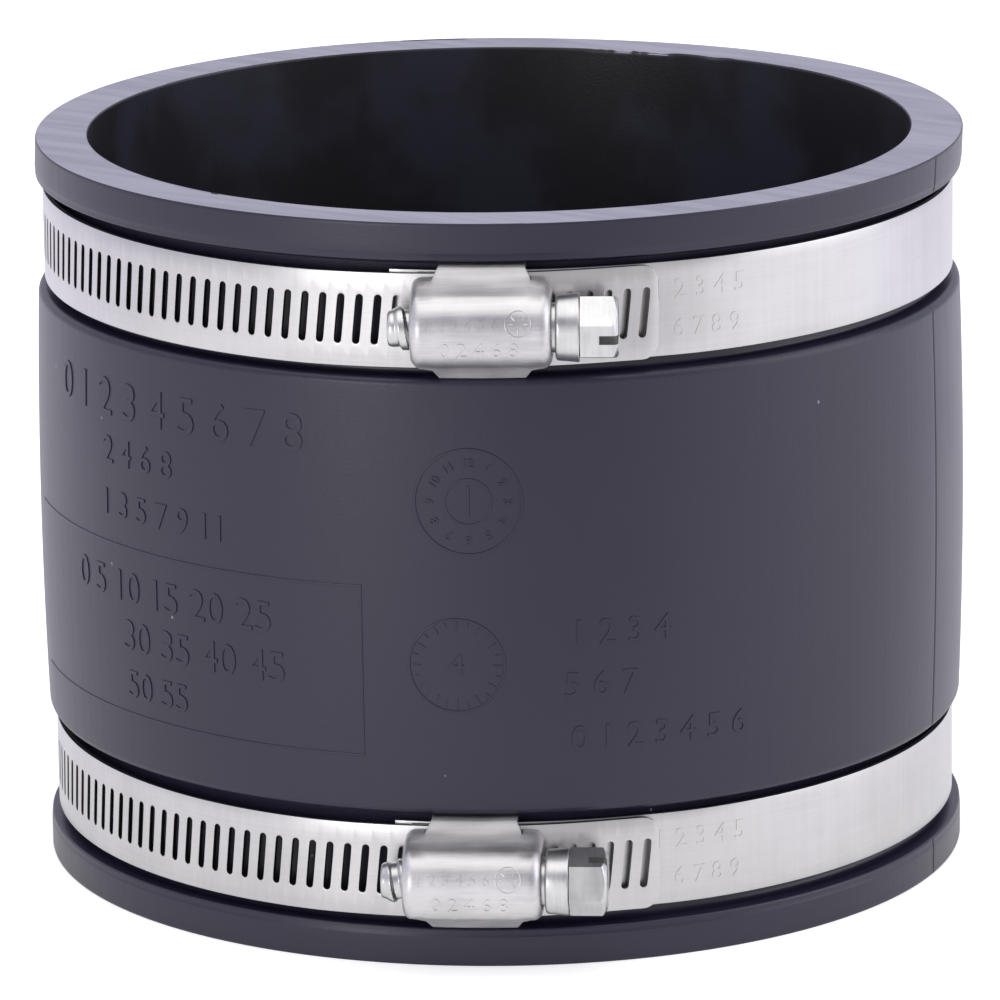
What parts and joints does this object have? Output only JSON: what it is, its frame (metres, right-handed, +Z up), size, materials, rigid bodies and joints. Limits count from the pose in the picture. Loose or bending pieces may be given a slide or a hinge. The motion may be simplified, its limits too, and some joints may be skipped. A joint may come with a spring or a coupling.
{
  "type": "flexible pipe coupling",
  "caption": "Flexible pipe coupling: a moulded rubber sleeve with a plain through bore, a lip at each end and a wide belly, held by a worm-drive steel band clamp in each end groove.",
  "frame": {"origin": "on the pipe axis at mid-height, which is also the solids' centroid to within a millimetre", "axes": "+Z up along the pipe axis, out of the top rim; -Y towards the clamp screws; +X towards the screw heads"},
  "size_m": [0.1296, 0.1385, 0.102],
  "materials": {
    "sleeve_rubber": "moulded, satin, with cut end faces",
    "band_steel": "bright rolled stainless strip",
    "housing_steel": "bright pressed stainless",
    "saddle_steel": "plain stainless",
    "screw_steel": "bright plated"
  },
  "bodies": {
    "sleeve": {"coupling_sleeve": "sleeve_rubber"},
    "upper_clamp": {"upper_housing": "housing_steel", "upper_saddle": "saddle_steel"},
    "upper_screw": {"upper_screw": "screw_steel"},
    "upper_band": {"upper_band": "band_steel"},
    "lower_clamp": {"lower_housing": "housing_steel", "lower_saddle": "saddle_steel"},
    "lower_screw": {"lower_screw": "screw_steel"},
    "lower_band": {"lower_band": "band_steel"}
  },
  "joints": [
    {"name": "upper_clamp_turn", "type": "hinge", "parent": "sleeve", "child": "upper_clamp", "pos_m": [0, 0, 0.03785], "axis": [0, 0, 1], "continuous": true},
    {"name": "upper_screw_turn", "type": "hinge", "parent": "upper_clamp", "child": "upper_screw", "pos_m": [-0.00247, -0.06791, 0.03785], "axis": [-0.9993, 0.0363, 0], "range_deg": [-1080, 1800]},
    {"name": "upper_band_feed", "type": "hinge", "parent": "upper_clamp", "child": "upper_band", "pos_m": [0, 0, 0.03785], "axis": [0, 0, 1], "range_deg": [-6.9, 11.5]},
    {"name": "lower_clamp_turn", "type": "hinge", "parent": "sleeve", "child": "lower_clamp", "pos_m": [0, 0, -0.03785], "axis": [0, 0, 1], "continuous": true},
    {"name": "lower_screw_turn", "type": "hinge", "parent": "lower_clamp", "child": "lower_screw", "pos_m": [-0.00456, -0.0678, -0.03785], "axis": [-0.9977, 0.0671, 0], "range_deg": [-1080, 1800]},
    {"name": "lower_band_feed", "type": "hinge", "parent": "lower_clamp", "child": "lower_band", "pos_m": [0, 0, -0.03785], "axis": [0, 0, 1], "range_deg": [-6.9, 11.5]}
  ],
  "couplings": [
    {"joint": "upper_band_feed", "follows": "upper_screw_turn", "ratio": 0.0063363},
    {"joint": "lower_band_feed", "follows": "lower_screw_turn", "ratio": 0.0063363}
  ]
}
